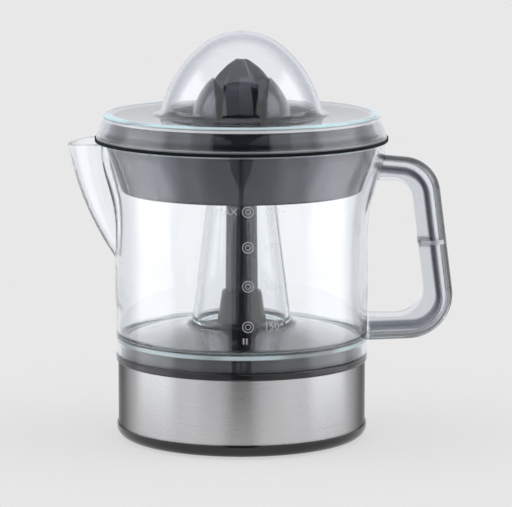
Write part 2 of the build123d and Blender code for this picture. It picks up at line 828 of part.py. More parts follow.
with BuildPart() as shaft_seal:
    with BuildSketch(Plane.XY.offset(upper_bush_top_z)):
        Circle(upper_bush_radius)
        Circle(spindle_radius + running_gap, mode=Mode.SUBTRACT)
    extrude(amount=seal_height)
shaft_seal.part.label = "shaft_seal"

# Return spring between the gear plate and the press plate
with BuildPart() as return_spring:
    with BuildSketch(Plane.XY.offset(plate_top_z)):
        Circle(spring_inner + spring_wire)
        Circle(spring_inner, mode=Mode.SUBTRACT)
    extrude(amount=spring_length)
return_spring.part.label = "return_spring"

# Press plate: a washer under the output gear, with a switch tab and a tongue between the ears
with BuildPart() as press_plate:
    with BuildSketch(Plane.XY.offset(press_z)):
        Circle(press_plate_radius)
        with Locations((0, -switch_radius / 2)):
            Rectangle(tab_width, switch_radius + 2 * plunger_radius)
        Circle(spindle_radius + stop_gap, mode=Mode.SUBTRACT)
    extrude(amount=press_plate_thickness)
    with BuildSketch(Plane.XY.offset(press_z)):
        with Locations((0, tongue_y)):
            Rectangle(tongue_width, tongue_thickness)
    extrude(amount=press_plate_thickness)
    with BuildSketch(Plane.XY.offset(press_z)):
        with Locations((0, tongue_y)):
            Rectangle(tongue_width, tongue_thickness)
    extrude(amount=-tongue_depth)
press_plate.part.label = "press_plate"

# Start switch: a small body on the gear plate, and the plunger that the tab pushes down
switch_top_z = plate_top_z + switch_height
with BuildPart() as switch_body:
    with BuildSketch(Plane.XY.offset(plate_top_z)):
        with Locations((0, -switch_radius)):
            Rectangle(switch_length, switch_width)
    extrude(amount=switch_height)
    with BuildSketch(Plane.XY.offset(switch_top_z)):
        with Locations((0, -switch_radius)):
            Circle(plunger_radius + running_gap)
    extrude(amount=-(press_travel + 2 * stop_gap), mode=Mode.SUBTRACT)
switch_body.part.label = "switch_body"

with BuildPart() as switch_plunger:
    with BuildSketch(Plane.XY.offset(switch_top_z - stop_gap)):
        with Locations((0, -switch_radius)):
            Circle(plunger_radius)
    extrude(amount=press_z - switch_top_z)
switch_plunger.part.label = "switch_plunger"

# Jug: one clear moulding of wall, skirt, floor, hollow column, spout and handle


def jug_wall(inset, low_z, high_z):
    """Draw the jug's wall line from its foot to its rim, moved in by a wall."""
    return Spline(
        (jug_foot_radius - inset, low_z),
        (jug_belly_radius - inset, ring_top_z + jug_belly_height),
        (jug_shoulder_radius - inset, jug_rim_z - jug_shoulder_drop),
        (jug_collar_radius - inset, jug_rim_z - jug_collar_drop),
        (jug_rim_radius - inset, high_z),
        tangents=[(0, 1), (0, 1)],
    )


def spout_circle(share, inset):
    """Plane, centre and radius of the spout's section at a share of its drop, moved in by a wall."""
    low = jug_foot_radius
    reach = low + (spout_tip_radius - low) * (share + spout_bow_share * share * (1 - share))
    nose = spout_foot_radius + (spout_nose_radius - spout_foot_radius) * share
    level = Plane.XY.offset(jug_rim_z - spout_drop * (1 - share))
    return level, (nose - reach, 0), nose - inset


handle_outer = (
    (handle_root_x, ring_top_z + handle_low_root_height),
    (handle_low_outer_x, ring_top_z + handle_low_outer_height),
    (handle_top_outer_x, jug_rim_z - handle_top_outer_drop),
    (handle_root_x, jug_rim_z - handle_top_root_drop),
)
handle_inner = (
    (handle_root_x, ring_top_z + handle_low_inner_height),
    (handle_low_inner_x, ring_top_z + handle_low_inner_height),
    (handle_top_inner_x, jug_rim_z - handle_top_inner_drop),
    (handle_root_x, jug_rim_z - handle_top_inner_drop),
)


handle_outer_rounds = [handle_low_outer_round, handle_top_outer_round]
handle_inner_rounds = [handle_low_inner_round, handle_top_inner_round]


def handle_line(corners, rounds):
    """Draw an outline of the handle: its rounded line, closed inside the jug."""
    FilletPolyline(*corners, radius=rounds)
    Line(corners[-1], corners[0])


# the rib goes from just behind the grip's inner edge to its back
grip_low_z = ring_top_z + handle_low_inner_height
grip_high_z = jug_rim_z - handle_top_inner_drop
handle_rib_z = grip_low_z + handle_rib_share * (grip_high_z - grip_low_z)
handle_rib_inner = (handle_low_inner_x + handle_top_inner_x) / 2 + handle_wall / 2
handle_rib_outer = (handle_low_outer_x + handle_top_outer_x) / 2
with BuildPart() as handle_hollow:
    with BuildSketch(Plane.XZ):
        with BuildLine():
            handle_line(handle_outer, handle_outer_rounds)
        make_face()
        offset(amount=-handle_wall, mode=Mode.REPLACE)
    extrude(amount=handle_depth / 2 - handle_wall, both=True)
    # all edges but the two inside the jug are rounded
    rims = handle_hollow.faces().filter_by(Axis.Y).edges().sort_by(Axis.X)
    fillet(rims[2:], handle_back_round - handle_wall)
    with BuildSketch(Plane.XZ):
        with Locations(((handle_rib_inner + handle_rib_outer) / 2, handle_rib_z)):
            Rectangle(handle_rib_outer - handle_rib_inner, handle_rib)
    extrude(amount=handle_depth / 2, both=True, mode=Mode.SUBTRACT)
column_floor_z = jug_floor_z + jug_floor_rise + clear_wall
wall_floor_z = jug_floor_z + clear_wall
with BuildPart() as jug:
    # the handle: a channel with a rounded back, open towards the hand, with a small rib in it
    with BuildSketch(Plane.XZ):
        with BuildLine():
            handle_line(handle_outer, handle_outer_rounds)
        make_face()
    extrude(amount=handle_depth / 2, both=True)
    rims = jug.faces().filter_by(Axis.Y).edges().sort_by(Axis.X)
    fillet(rims[2:], handle_back_round)
    with BuildSketch(Plane.XZ):
        with BuildLine():
            handle_line(handle_inner, handle_inner_rounds)
        make_face()
    extrude(amount=handle_depth / 2, both=True, mode=Mode.SUBTRACT)
    add(handle_hollow.part, mode=Mode.SUBTRACT)
    # the wall, filled, and the spout
    with BuildSketch(Plane.XZ):
        with BuildLine():
            wall = jug_wall(0, ring_top_z, jug_rim_z)
            Polyline(wall @ 1, (0, jug_rim_z), (0, ring_top_z), wall @ 0)
        make_face()
    revolve(axis=Axis.Z)
    for share in spout_level_shares:
        level, centre, radius = spout_circle(share, 0)
        with BuildSketch(level):
            with Locations(centre):
                Circle(radius)
    loft()
    # the juice space, down to the floor and round the column
    with BuildSketch(Plane.XZ) as juice_space:
        with BuildLine():
            wall = jug_wall(clear_wall, wall_floor_z + jug_floor_round, jug_rim_z)
            floor_edge = (jug_foot_radius - clear_wall - jug_floor_round, wall_floor_z)
            RadiusArc(wall @ 0, floor_edge, jug_floor_round)
            Polyline(
                wall @ 1,
                (0, jug_rim_z),
                (0, column_top_z),
                (column_top_radius, column_top_z),
                (column_base_radius, column_floor_z),
                floor_edge,
            )
        make_face()
        corners = juice_space.vertices()
        fillet(corners.sort_by_distance((column_base_radius, column_floor_z))[0], column_round)
    revolve(axis=Axis.Z, mode=Mode.SUBTRACT)
    for share in (*spout_level_shares[:-1], spout_top_share):
        level, centre, radius = spout_circle(share, clear_wall)
        with BuildSketch(level):
            with Locations(centre):
                Circle(radius)
    loft(mode=Mode.SUBTRACT)
    # the spout's lip dips towards its tip
    with BuildSketch(Plane.XZ):
        with BuildLine():
            Polyline(
                (-jug_rim_radius, jug_rim_z),
                (-spout_tip_radius, jug_rim_z - spout_lip_drop),
                (-spout_tip_radius, jug_rim_z),
                close=True,
            )
        make_face()
    extrude(amount=spout_nose_radius, both=True, mode=Mode.SUBTRACT)
    # the hollow under the floor and up the column, where the housing's deck and tower go
    with BuildSketch(Plane.XZ):
        with BuildLine():
            Polyline(
                (0, ring_top_z),
                (jug_foot_radius - clear_wall, ring_top_z),
                (jug_foot_radius - clear_wall, jug_floor_z),
                (column_base_radius - clear_wall, jug_floor_z + jug_floor_rise),
                (column_top_radius - clear_wall, column_top_z - clear_wall),
                (0, column_top_z - clear_wall),
                close=True,
            )
        make_face()
    revolve(axis=Axis.Z, mode=Mode.SUBTRACT)
    with BuildSketch(Plane.XY.offset(column_top_z)):
        Circle(shaft_hole_radius)
    extrude(amount=-clear_wall, mode=Mode.SUBTRACT)
jug.part.label = "jug"

# Drive shaft: stands on the spindle, and its collar lifts it out with the jug
with BuildPart() as drive_shaft:
    with BuildSketch(Plane.XZ):
        with BuildLine():
            Polyline(
                (0, shaft_z),
                (shaft_foot_radius, shaft_z),
                (shaft_foot_radius, tower_top_z),
                (shaft_radius, column_top_z),
                (shaft_radius, collar_z),
                (shaft_collar_radius, collar_z),
                (shaft_collar_radius, collar_top_z),
                (shaft_radius, collar_top_z),
                (shaft_radius, cone_z),
                (0, cone_z),
                close=True,
            )
        make_face()
    revolve(axis=Axis.Z)
    with BuildSketch(Plane.XY.offset(cone_z)):
        RegularPolygon(shaft_hex / 2, 6, major_radius=False)
    extrude(amount=shaft_hex_length)
    with BuildSketch(Plane.XY.offset(shaft_z)):
        RegularPolygon(spindle_hex / 2 + hex_gap, 6, major_radius=False)
    extrude(amount=cup_floor_z + press_travel + spindle_hex_length + stop_gap - shaft_z, mode=Mode.SUBTRACT)
drive_shaft.part.label = "drive_shaft"

# Strainer bowl: flange on the jug's rim, slotted floor and a hub over the column
with BuildPart() as strainer_bowl:
    with BuildSketch(Plane.XZ) as bowl_section:
        with BuildLine():
            Polyline(
                (hub_radius, bowl_z - hub_lip),
                (hub_radius + hub_wall, bowl_z - hub_lip),
                (hub_radius + hub_wall, bowl_z),
                (bowl_floor_radius, bowl_z),
                (bowl_rim_radius, bowl_rim_z),
                (bowl_flange_radius, bowl_rim_z),
                (bowl_flange_radius, bowl_top_z),
                (bead_radius, bowl_top_z),
                (bead_radius, bowl_top_z + bead_height),
                (bead_radius - bead_width, bowl_top_z + bead_height),
                (bead_radius - bead_width, bowl_top_z),
                (bowl_rim_radius - bowl_wall, bowl_top_z),
                (bowl_floor_radius - bowl_wall, bowl_z + bowl_wall),
                (hub_radius + hub_wall, bowl_z + bowl_wall),
                (hub_radius + hub_wall, hub_top_z),
                (shaft_hole_radius, hub_top_z),
                (shaft_hole_radius, hub_roof_z),
                (hub_radius, hub_roof_z),
                close=True,
            )
        make_face()
        corners = bowl_section.vertices()
        fillet(corners.sort_by_distance((bowl_floor_radius, bowl_z))[0], bowl_corner_round)
        corners = bowl_section.vertices()
        fillet(corners.sort_by_distance((hub_radius + hub_wall, hub_top_z))[0], hub_wall / 2)
    revolve(axis=Axis.Z)
    with BuildSketch(Plane.XY.offset(bowl_z)):
        with PolarLocations((slot_inner_radius + slot_outer_radius) / 2, slot_count):
            Rectangle(slot_outer_radius - slot_inner_radius, slot_width)
    extrude(amount=bowl_wall, mode=Mode.SUBTRACT)
strainer_bowl.part.label = "strainer_bowl"

# Small cone: fluted body on a disc, with a skirt round the strainer's hub and a hexagonal socket
shoulder_z = cone_z + small_shoulder_height
arc_height = small_height - small_shoulder_height
with BuildPart() as small_cone:
    for share in flute_level_shares:
        crest = bow(small_radius, small_bow, share * arc_height)
        points = []
        for step in range(2 * flute_count):
            radius = crest if step % 2 == 0 else crest * groove_share
            points.append(polar(flute_turn - 90 + step * 180 / flute_count, radius))
        with BuildSketch(Plane.XY.offset(shoulder_z + share * arc_height)):
            with BuildLine():
                Polyline(*points, close=True)
            make_face()
    loft()
    star_face = small_cone.faces().sort_by(Axis.Z)[0]
    extrude(star_face, amount=shoulder_z - disc_top_z)
    with BuildSketch(Plane.XY.offset(cone_z)):
        Circle(disc_radius)
    extrude(amount=disc_height)
    with BuildSketch(Plane.XY.offset(cone_z)):
        Circle(disc_radius)
        Circle(disc_radius - skirt_wall, mode=Mode.SUBTRACT)
    extrude(amount=-skirt_height)
    with BuildSketch(Plane.XY.offset(cone_z)):
        RegularPolygon(shaft_hex / 2 + hex_gap, 6, major_radius=False)
    extrude(amount=shaft_hex_length + stop_gap, mode=Mode.SUBTRACT)
small_cone.part.label = "small_cone"

# Large cone: two smooth petals on a flanged ring, dropped over the small cone
with BuildPart() as large_cone:
    petal_z = cone_z + large_shoulder_height
    petal_rise = large_top_height - large_shoulder_height
    seat_z = disc_top_z + fixed_gap
    ring_inner = disc_radius + fixed_gap
    with BuildSketch(Plane.XZ):
        with BuildLine():
            top = (bow(large_radius, large_bow, petal_rise), petal_z + petal_rise)
            crown = RadiusArc((large_radius, petal_z), top, -large_bow)
            inner_bow = large_bow - large_wall
            inside = (bow(large_radius - large_wall, inner_bow, petal_rise), petal_z + petal_rise)
            lining = RadiusArc(inside, (large_radius - large_wall, petal_z), inner_bow)
            Line(crown @ 1, lining @ 0)
            Polyline(
                lining @ 1,
                (large_radius - large_wall, seat_z),
                (ring_inner, seat_z),
                (ring_inner, cone_z),
                (large_flange_radius, cone_z),
                (large_flange_radius, cone_z + large_flange_height),
                (large_radius + fixed_gap, disc_top_z + disc_height),
                crown @ 0,
            )
        make_face()
    revolve(axis=Axis.Z)
    with BuildSketch(Plane.XZ):
        with BuildLine():
            Polyline(
                (-petal_gap_low / 2, disc_top_z + large_flange_height),
                (petal_gap_low / 2, disc_top_z + large_flange_height),
                (petal_gap_high / 2, petal_z + petal_rise),
                (-petal_gap_high / 2, petal_z + petal_rise),
                close=True,
            )
        make_face()
    extrude(amount=large_flange_radius, both=True, mode=Mode.SUBTRACT)
    # the small cone's crests pass up through the petals' thin tops
    with BuildSketch(Plane.XZ):
        with BuildLine():
            shoulder = (small_radius + stop_gap, shoulder_z)
            peak = (bow(small_radius, small_bow, arc_height) + stop_gap, shoulder_z + arc_height)
            crest = RadiusArc(shoulder, peak, -(small_bow + stop_gap))
            Polyline(crest @ 1, (0, peak[1]), (0, shoulder[1]), crest @ 0)
        make_face()
    revolve(axis=Axis.Z, mode=Mode.SUBTRACT)
large_cone.part.label = "large_cone"

# Dust cover: a flat brim with a sloping skirt, and a dome over the reamer


def cover_outline(inset):
    """Draw half of the cover's section, moved in by a wall."""
    brim_z = cover_z + cover_brim_height - inset
    dish_z = brim_z - cover_dish
    apex_z = cover_z + dome_height - inset
    top_bow = dome_top_bow - inset
    top_width = dome_top_width * top_bow / dome_top_bow
    top_drop = top_bow - sqrt(top_bow**2 - top_width**2)
    side = (dome_radius - inset, dish_z)
    crown = (top_width, apex_z - top_drop)
    cap = RadiusArc((0, apex_z), crown, top_bow)
    TangentArc(crown, side, tangent=cap % 1)
    Polyline(
        side,
        (cover_brim_radius - inset, brim_z),
        (cover_radius - inset, cover_z),
        (0, cover_z),
        (0, apex_z),
    )


with BuildPart() as dust_cover:
    with BuildSketch(Plane.XZ):
        with BuildLine():
            cover_outline(0)
        make_face()
    revolve(axis=Axis.Z)
    with BuildSketch(Plane.XZ):
        with BuildLine():
            cover_outline(cover_wall)
        make_face()
    revolve(axis=Axis.Z, mode=Mode.SUBTRACT)
    for radius, size in (
        (cover_brim_radius, cover_brim_round),
        (dome_radius, dome_base_round),
        (dome_radius - cover_wall, dome_base_round + cover_wall),
    ):
        circles = dust_cover.edges().filter_by(GeomType.CIRCLE)
        fillet(circles.filter_by(lambda edge: abs(edge.radius - radius) < fixed_gap), size)
dust_cover.part.label = "dust_cover"

os.makedirs("parts", exist_ok=True)
for piece in (
    base_plate, rubber_ring, steel_band, motor_housing, cord_gland, base_screws,
    gear_plate, gear_plate_screws, stator_core, coil_bobbins, coil_windings,
    bearing_bridge, motor_spacers, motor_screws, rotor_magnet, rotor_shaft, rotor_pinion,
    rotor_bearings, idler_axle, idler_gear, output_gear, spindle, lower_bush, upper_bush,
    shaft_seal, return_spring, press_plate, switch_body, switch_plunger, jug, drive_shaft,
    strainer_bowl, small_cone, large_cone, dust_cover,
):
    export_step(piece.part, f"parts/{piece.part.label}.step")
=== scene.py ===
"""The citrus juicer's looks: materials, small pieces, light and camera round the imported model."""

import json
import math

import bmesh
import bpy
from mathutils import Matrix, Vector


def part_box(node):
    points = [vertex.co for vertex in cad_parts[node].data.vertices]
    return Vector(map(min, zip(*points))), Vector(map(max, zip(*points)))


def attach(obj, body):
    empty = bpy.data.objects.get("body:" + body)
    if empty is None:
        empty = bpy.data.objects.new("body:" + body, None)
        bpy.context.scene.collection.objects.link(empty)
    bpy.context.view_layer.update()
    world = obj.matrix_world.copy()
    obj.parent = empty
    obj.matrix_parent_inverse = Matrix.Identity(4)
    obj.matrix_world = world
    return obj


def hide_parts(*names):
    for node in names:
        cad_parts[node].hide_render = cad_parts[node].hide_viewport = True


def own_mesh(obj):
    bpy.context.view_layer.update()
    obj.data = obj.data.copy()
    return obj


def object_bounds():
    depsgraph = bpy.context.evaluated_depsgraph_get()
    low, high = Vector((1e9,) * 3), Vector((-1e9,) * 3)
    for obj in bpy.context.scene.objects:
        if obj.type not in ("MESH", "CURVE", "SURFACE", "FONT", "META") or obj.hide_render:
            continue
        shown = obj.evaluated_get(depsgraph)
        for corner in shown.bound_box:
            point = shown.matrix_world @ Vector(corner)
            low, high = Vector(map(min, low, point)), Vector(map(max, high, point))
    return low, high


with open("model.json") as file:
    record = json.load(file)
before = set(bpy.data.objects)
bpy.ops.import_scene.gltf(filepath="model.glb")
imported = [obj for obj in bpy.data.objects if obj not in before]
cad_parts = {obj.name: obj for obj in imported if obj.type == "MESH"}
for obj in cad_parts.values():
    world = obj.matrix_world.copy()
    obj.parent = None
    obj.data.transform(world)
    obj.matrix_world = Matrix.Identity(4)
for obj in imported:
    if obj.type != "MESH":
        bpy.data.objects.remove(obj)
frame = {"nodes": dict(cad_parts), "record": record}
cad_low, cad_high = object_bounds()
jug_low, jug_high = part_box("jug")
cover_low, cover_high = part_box("dust_cover")
scene = bpy.context.scene
scene.view_settings.view_transform = "Standard"

# Lengths are in metres, colours are linear and noise grains are per metre. Four numbers for wear, patches
# or roughness are a noise's range and the values it gives. A relief or wave ends with depth and strength.

# Photograph: its size, and where its camera stood
photo_width = 512
photo_focal_px = 3219
sensor_width_mm = 36.0
camera_place = (0.0073, -1.616, 0.3435)
camera_pitch = math.radians(8.81)
camera_sight = 32.0

# Background and floor
background = (0.807, 0.807, 0.807)
studio_white = (0.92, 0.925, 0.945)
floor_tone = 0.64
floor_rough = 0.9
floor_radius = 0.26
floor_drop = 0.0003
floor_fade = 0.1
floor_sides = 96
floor_shadow = 0.3

# Light, and cards that are there for reflections alone
studio_radius = 3.2
soft_boxes = (
    # bearing from the camera's side and elevation in degrees, width, height, radiance
    (90, 26, 2.8, 2.6, 2.1),
    (-90, 26, 2.8, 2.6, 2.1),
)
dark_cards = (
    # bearing in degrees, tone, then half width and level from the foot up
    (0, 0.02, ((0.1, -5.0), (0.13, -2.6), (0.42, -1.6), (0.52, -0.4), (0.8, 0.1), (1.5, 2.3), (2.6, 5.0))),
    (160, 0.26, ((0.75, -3.4), (0.75, -0.7))),
    (-158, 0.28, ((0.95, -3.4), (0.95, -0.7))),
)
soft_cards = (
    # bearing in degrees, tone, half width, foot and head
    (90, 2.8, 1.9, 0.5, 3.6),
    (-90, 2.8, 1.9, 0.5, 3.6),
    (88, 2.3, 1.9, -4.2, 0.2),
    (-88, 2.3, 1.9, -4.2, 0.2),
    (48, 1.2, 0.9, -4.2, -0.3),
    (-48, 1.05, 0.9, -4.2, -0.3),
    (-4, 0.58, 3.0, -4.5, 0.6),
    (52, 1.7, 0.8, 0.3, 3.0),
    (-52, 1.7, 0.8, 0.3, 3.0),
)
card_tint = (0.97, 0.985, 1.04)
soft_card_back = 0.2
card_core_share = 0.45
card_fade_share = 0.3

# Return spring: its wire, turns and mesh
spring_wire = 0.0013
spring_turns = 4.5
spring_steps = 108
spring_sides = 12

# Strainer's rim: its wall, its gap to the cover's skirt, its height above the flange, and the skirt's form
rim_wall = 0.0014
rim_gap = 0.0029
rim_head = 0.0098
rim_round_steps = 8
turned_steps = 144
skirt_wall = 0.0018
skirt_slope = 0.0042
skirt_height = 0.0106

# Strainer flange's edge, under a near-black matt skin that is a painted shadow: its height, and how far the
# skin reaches in and stands proud
flange_height = 0.0016
flange_skin_depth = 0.0004
flange_skin_proud = 0.00012

# Handle: where it leaves the jug, half its depth, its rib's level, and its outer corners along X and Z
grip_start = 0.0638
grip_start_blend = 0.002
grip_half = 0.0081
grip_half_blend = 0.0005
grip_rib = 0.0994
grip_corners = ((0.0574, 0.0484), (0.1102, 0.0506), (0.0986, 0.1412), (0.0574, 0.145))
grip_round = 0.021

# Handle's painted shade: its clear tone, the painted dark shade along its back and the painted grey shade
# along its channel's root and at its rib, the depths under its outer outline where they come and go, and its
# rib's half height
grip_clear = (0.87, 0.875, 0.89)
grip_painted_back_shade = (0.05, 0.053, 0.055)
grip_painted_root_shade = (0.27, 0.28, 0.31)
grip_comes = (-0.0008, -0.0002)
grip_back_shade_goes = (0.0012, 0.002)
grip_root_shade_comes = (0.005, 0.0062)
grip_root_shade_goes = (0.0076, 0.0092)
grip_rib_shade_comes = (0.004, 0.006)
grip_rib_shade_half = (0.0008, 0.0026)
grip_rib_shade_strength = 0.7

# Clear styrene: what it lets through, how far it turns away as painted shade greys its glancing edges, its
# waves, wear and haze
clear_ior = 1.45
clear_pass = 0.995
clear_painted_edge_shade_comes = (0.36, 0.68)
clear_wave_grain = 28.0
clear_wave = (0.0002, 0.06)
clear_wear_grain = 90.0
clear_wear = (0.35, 0.75, 0.015, 0.05)
clear_haze = (0.42, 0.8, 0.86, 1)
clear_haze_density = 8.0
# Tones of the jug and the cover: their own tint, then the painted shade at their glancing edges
jug_tint_and_edge_shade = ((0.99, 0.992, 0.997), (0.74, 0.75, 0.77))
cover_tint_and_edge_shade = ((0.965, 0.967, 0.98), (0.62, 0.635, 0.7))

# Rings of the clear plastic with painted light: a painted teal glow of light carried through thick edges, a
# painted white highlight on the cover's brim, and a painted dark shadow where the cover's skirt meets the
# flange
painted_teal_glow = (0.4, 0.66, 0.71)
teal_grain = 32.0
teal_patches = (0.35, 0.65, 0.6, 1.0)
painted_white_highlight = (0.8, 0.82, 0.84)
painted_dark_shadow = (0.02, 0.03, 0.036)
ring_soft_part = 3
jug_painted_light_rings = (
    # lowest and highest level, inner and outer radius, strength, colour
    (jug_low.z + 0.0058, jug_low.z + 0.0092, 0.056, 0.0665, 0.55, painted_teal_glow),
    (jug_low.z - 0.002, jug_low.z + 0.007, 0.056, 0.09, 0.07, painted_teal_glow),
    (jug_high.z - 0.0012, jug_high.z + 0.0008, 0.066, 0.09, 0.5, painted_teal_glow),
)
cover_painted_light_rings = (
    (cover_low.z + 0.0108, cover_low.z + 0.0132, 0.0655, 0.09, 0.85, painted_teal_glow),
    (cover_low.z + 0.0092, cover_low.z + 0.0112, 0.0655, 0.09, 0.5, painted_white_highlight),
    (cover_low.z - 0.0012, cover_low.z + 0.0013, 0.066, 0.09, 0.9, painted_dark_shadow),
)

# Brushed sheet: its radius, streaks, tones, and how far it turns away as painted shade darkens its sides
sheet_radius = 0.06
sheet_streaks = (14.0, 1.0, 2600.0)
sheet_streak_detail = 4.0
sheet_streak_rough = 0.6
sheet_tones = ((0.48, 0.48, 0.48), (0.6, 0.597, 0.59))
sheet_painted_side_shade = (0.1, 0.1, 0.1, 1)
sheet_side_shade_comes = (0.42, 0.82)
sheet_rough = (0.25, 0.75, 0.24, 0.34)
sheet_relief = (0.00002, 0.05)

# Stacked iron sheets, and wire
lamination_pitch = 0.0005
lamination_gap_share = 0.25
lamination_tones = ((0.06, 0.06, 0.06), (0.26, 0.26, 0.27))
lamination_relief = (0.00005, 0.5)
wire_waves = 16000.0
wire_tones = ((0.3, 0.1, 0.04), (0.8, 0.36, 0.16))
wire_relief = (0.0001, 0.5)

# Metals and dull materials: the noise's usual range, spread of roughness, relief and how much finer it is
usual_noise = (0.3, 0.7)
metal_spread = (0.8, 1.2)
metal_relief = (3.0, 0.00003, 0.2)
metal_finer = 4
dull_spread = (0.9, 1.1)
dull_relief = (3.0, 0.00005, 0.3)
dull_finer = 10

# Printed scale on the jug's front: level of each mark, places along X and sizes
scale_levels = ((0.1237, "750"), (0.1058, "550"), (0.0865, "350"), (0.0664, "150"))
scale_ring_x = 0.0034
scale_ring_radii = ((0.0029, 0.0024), (0.0015, 0.0011))
scale_ring_sides = 40
scale_number_x = 0.0112
scale_text_height = 0.0035
scale_capital_share = 0.7
scale_top_word = ("MAX", -0.0125)
scale_dash_x = 0.0206
scale_dash_size = (0.0024, 0.0005)
scale_bars = ((0.0012, 0.0593), (0.0028, 0.0593))
scale_bar_size = (0.0008, 0.003)
ink_lift = 0.00008
ink_grain = 700.0
ink_tones = ((0.6, 0.61, 0.63), (0.75, 0.76, 0.78))


# Nodes

def add(tree, kind, inputs=None, **settings):
    """Add a node to a tree, set its inputs by name or number and its settings."""
    made = tree.nodes.new(kind)
    for name, value in settings.items():
        setattr(made, name, value)
    for name, value in (inputs or {}).items():
        if hasattr(value, "is_output"):
            tree.links.new(value, made.inputs[name])
        else:
            made.inputs[name].default_value = value
    return made


def maths(tree, operation, first, second=0.0):
    """The output of a Math node on two values or sockets."""
    return add(tree, "ShaderNodeMath", {0: first, 1: second}, operation=operation).outputs[0]


def times(tree, first, second):
    """The product of two values or sockets."""
    return maths(tree, "MULTIPLY", first, second)


def vector(tree, operation, inputs, output=0):
    """An output of a Vector Math node."""
    return add(tree, "ShaderNodeVectorMath", inputs, operation=operation).outputs[output]


def axes(tree, point):
    """The three coordinates of a point."""
    return add(tree, "ShaderNodeSeparateXYZ", {0: point}).outputs


def ramp(tree, value, low, high, start=0.0, end=1.0):
    """A smooth step from start to end while the value goes from low to high."""
    made = add(tree, "ShaderNodeMapRange",
               {"Value": value, "From Min": low, "From Max": high, "To Min": start, "To Max": end},
               interpolation_type="SMOOTHSTEP")
    return made.outputs[0]


def fall(tree, value, low, high, start=1.0):
    """A smooth step from start down to nothing while the value goes from low to high."""
    return ramp(tree, value, low, high, start, 0.0)


def noise(tree, point, grain, detail=3.0, rough=0.5):
    """The value of a noise texture at a point."""
    made = add(tree, "ShaderNodeTexNoise",
               {"Vector": point, "Scale": grain, "Detail": detail, "Roughness": rough})
    return made.outputs["Fac"]


def place(tree):
    """The point on the surface in the object's own frame."""
    return add(tree, "ShaderNodeTexCoord").outputs["Object"]


def facing(tree):
    """How far the surface turns away from the eye, from 0 to 1."""
    return add(tree, "ShaderNodeLayerWeight", {"Blend": 0.5}).outputs["Facing"]


def bump(tree, height, depth, strength):
    """A normal that follows a height."""
    made = add(tree, "ShaderNodeBump", {"Height": height, "Distance": depth, "Strength": strength})
    return made.outputs["Normal"]


def blend(tree, factor, first, second):
    """A colour between two colours or sockets, by a factor."""
    made = add(tree, "ShaderNodeMix", {"Factor": factor, "A": first, "B": second}, data_type="RGBA")
    return made.outputs[2]


def tint(tree, factor, first, second):
    """A colour between two plain ones, by a factor."""
    return blend(tree, factor, (*first, 1), (*second, 1))


def surface(name):
    """A new material, its tree and its shader."""
    made = bpy.data.materials.new(name)
    made.use_nodes = True
    tree = made.node_tree
    return made, tree, tree.nodes["Principled BSDF"]


def link(tree, socket, shader, name):
    """Feed one input of a shader."""
    tree.links.new(socket, shader.inputs[name])


def fix(shader, values):
    """Set inputs of a shader to constants."""
    for name, value in values.items():
        shader.inputs[name].default_value = value


def show(tree, shader_node):
    """Make a shader what the material's surface shows."""
    tree.links.new(shader_node.outputs[0], tree.nodes["Material Output"].inputs["Surface"])


# Materials

def away(tree, point, start, end):
    """The distance from a point to a straight line between two places."""
    way = end - start
    offset = vector(tree, "SUBTRACT", {0: point, 1: start})
    share = vector(tree, "DOT_PRODUCT", {0: offset, 1: way / way.length_squared}, "Value")
    share = add(tree, "ShaderNodeClamp", {"Value": share}).outputs[0]
    nearest = vector(tree, "SCALE", {0: way, "Scale": share})
    return vector(tree, "DISTANCE", {0: offset, 1: nearest}, "Value")


def grip_core():
    """The handle's outer corners, moved in by grip_round, in the plane of the handle."""
    corners = [Vector((x, 0, z)) for x, z in grip_corners]
    ways = [(b - a).normalized() for a, b in zip(corners, corners[1:])]
    inward = [Vector((-way.z, 0, way.x)) for way in ways]
    core = [corners[0] + inward[0] * grip_round]
    for corner, before, after in zip(corners[1:], inward, inward[1:]):
        core.append(corner + (before + after) * grip_round / (1 + before.dot(after)))
    core.append(corners[-1] + inward[-1] * grip_round)
    return core


def grip_painted_shade(tree, point):
    """The handle's colour, and where it holds.

    It has painted shade: dark along its back, grey along the root of its channel and at its rib, and clear
    between.
    """
    x, y, z = axes(tree, point)
    flat = vector(tree, "MULTIPLY", {0: point, 1: (1, 0, 1)})
    core = grip_core()
    reach = 1.0
    for start, end in zip(core, core[1:]):
        reach = maths(tree, "MINIMUM", away(tree, flat, start, end), reach)
    depth = maths(tree, "SUBTRACT", grip_round, reach)
    root = times(tree, ramp(tree, depth, *grip_root_shade_comes), fall(tree, depth, *grip_root_shade_goes))
    beside = maths(tree, "ABSOLUTE", maths(tree, "SUBTRACT", z, grip_rib))
    rib = fall(tree, beside, *grip_rib_shade_half, grip_rib_shade_strength)
    rib = times(tree, rib, ramp(tree, depth, *grip_rib_shade_comes))
    # Painted shade: grey at the channel's root and at the rib, near-black along the back
    shade = tint(tree, maths(tree, "MAXIMUM", root, rib), grip_clear, grip_painted_root_shade)
    shade = blend(tree, fall(tree, depth, *grip_back_shade_goes), shade, (*grip_painted_back_shade, 1))
    past_start = ramp(tree, x, grip_start, grip_start + grip_start_blend)
    aside = maths(tree, "ABSOLUTE", y)
    holds = times(tree, ramp(tree, depth, *grip_comes), past_start)
    holds = times(tree, holds, fall(tree, aside, grip_half, grip_half + grip_half_blend))
    return shade, holds


